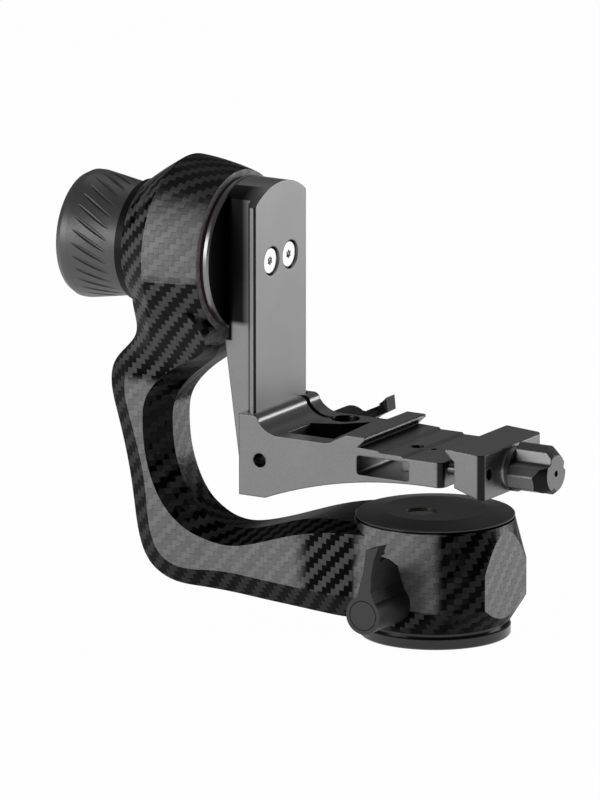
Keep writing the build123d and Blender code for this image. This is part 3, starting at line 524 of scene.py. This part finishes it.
# single parts whose finish is darker or brighter than the rest of their slot; the disc's face and the
# rail's stem carry painted shade
ownFinishes = {
    "tilt_collar": coating("collarBlack", (0.006, 0.006, 0.006), roughness=0.45, gloss=0.15, **lacquer),
    "swing_disc": discFaceShade(),
    # the rail's stem gets painted shade on its narrow sides
    "swing_rail": satinMetal("railGray", tone=0.238, roughness=0.36, flank=stemFlank, **blastedAndShaded),
    "base_plate": coating("basePlateBlack", (0.012, 0.012, 0.012), roughness=0.22, **lacquer),
    "jaw_pins": satinMetal("pinSteel", tone=0.10, roughness=0.30),
    "clamp_screw": satinMetal("screwSteel", tone=0.10, roughness=0.30),
    "clamp_knob_grip": satinMetal("knobGray", tone=0.185, roughness=0.42, **blastedAndShaded),
    "pan_cap": satinMetal("capBlack", tone=0.068, roughness=0.42, metallic=0.7),
}
slotOf = {part["node"]: part["material_slot"] for part in frame["record"]["subparts"]}
for name, node in nodes.items():
    node.data.materials.clear()
    node.data.materials.append(ownFinishes.get(name) or finishes[slotOf[name]])
print("materials given to", len(nodes), "parts")


studio = {
    "floorSize": 30.0,
    "floorColour": 0.82,
    "floorGrain": 0.01,
    "floorGrainScale": 40.0,
    "floorRoughness": 0.9,
    "floorGloss": 0.1,
    "floorGlow": 0.985,             # how white the paper looks to the camera and in reflections
    "worldGrey": 0.14,
    "aim": (-0.06, 0, 0.09),        # the middle of the head, where the lamps point
}
lamps = {
    "frontBox": {"spot": (-0.62, -1.0, 0.40), "size": (0.7, 0.5), "radiance": 5.0},
    "rightBox": {"spot": (0.66, 0.92, 0.24), "size": (0.6, 0.4), "radiance": 5.4},
    "highBox": {"spot": (-0.3, 0.7, 1.3), "size": (0.8, 0.8), "radiance": 0.75},
}


def makeFloor():
    bpy.ops.mesh.primitive_plane_add(size=studio["floorSize"], location=(0, 0, 0))
    floor = bpy.context.object
    floor.name = "studioFloor"
    material, tree, shader = newMaterial("floorPaper")
    paper = noise(tree, objectCoordinates(tree), studio["floorGrainScale"], detail=3.0)
    low = grey(studio["floorColour"] * (1 - studio["floorGrain"]))
    high = grey(studio["floorColour"] * (1 + studio["floorGrain"]))
    tree.links.new(mixColour(tree, paper, low, high), shader.inputs["Base Color"])
    shader.inputs["Roughness"].default_value = studio["floorRoughness"]
    shader.inputs["Specular IOR Level"].default_value = studio["floorGloss"]
    glow = addNode(tree, "ShaderNodeEmission")
    glow.inputs["Strength"].default_value = 1.0
    path = addNode(tree, "ShaderNodeLightPath")
    seen = calc(tree, "MAXIMUM", path.outputs["Is Camera Ray"], path.outputs["Is Glossy Ray"])
    seen = calc(tree, "MAXIMUM", seen, path.outputs["Is Transmission Ray"])
    blend = addNode(tree, "ShaderNodeMixShader")
    tree.links.new(times(tree, seen, studio["floorGlow"]), blend.inputs[0])
    tree.links.new(shader.outputs[0], blend.inputs[1])
    tree.links.new(glow.outputs[0], blend.inputs[2])
    tree.links.new(blend.outputs[0], tree.nodes["Material Output"].inputs["Surface"])
    floor.data.materials.append(material)


def softbox(name, spot, size, radiance):
    # radiance is the brightness of the lit sheet, so a larger box gives more light
    lamp = bpy.data.lights.new(name, "AREA")
    lamp.shape = "RECTANGLE"
    lamp.size, lamp.size_y = size
    lamp.energy = radiance * size[0] * size[1] * pi
    holder = bpy.data.objects.new(name, lamp)
    holder.location = spot
    towards = Vector(studio["aim"]) - Vector(spot)
    holder.rotation_euler = towards.to_track_quat("-Z", "Y").to_euler()
    holder.visible_camera = False
    scene.collection.objects.link(holder)


def makeWorld():
    world = bpy.data.worlds.new("studioRoom")
    world.use_nodes = True
    background = world.node_tree.nodes["Background"]
    background.inputs["Color"].default_value = grey(studio["worldGrey"])
    background.inputs["Strength"].default_value = 1.0
    scene.world = world


makeFloor()
makeWorld()
for name, lamp in lamps.items():
    softbox(name, **lamp)
print("studio set up")


view = {
    "azimuth": 30.94,               # degrees from the front towards +X
    "pitch": 13.42,
    "distance": 6.1,
    "lens": 696.0,
    "sensor": 36.0,
    "clipEnd": 50.0,
    "originRight": 135.0,           # where the frame's origin falls, in pixels from the picture's middle
    "originDown": 231.7,
    "pixelsPerMetre": 2536.6,
}


def makeCamera():
    turn = radians(view["azimuth"])
    tip = radians(view["pitch"])
    towards = Vector((sin(turn) * cos(tip), -cos(turn) * cos(tip), sin(tip)))
    right = Vector((cos(turn), sin(turn), 0))
    up = right.cross(-towards)
    data = bpy.data.cameras.new("photoCamera")
    data.lens = view["lens"]
    data.sensor_width = view["sensor"]
    data.clip_end = view["clipEnd"]
    camera = bpy.data.objects.new("photoCamera", data)
    rise = up * view["originDown"] / view["pixelsPerMetre"]
    drift = right * view["originRight"] / view["pixelsPerMetre"]
    camera.location = towards * view["distance"] + (rise - drift)
    camera.rotation_euler = (-towards).to_track_quat("-Z", "Y").to_euler()
    scene.collection.objects.link(camera)
    scene.camera = camera


makeCamera()
scene.view_settings.view_transform = "Standard"
print("camera placed")
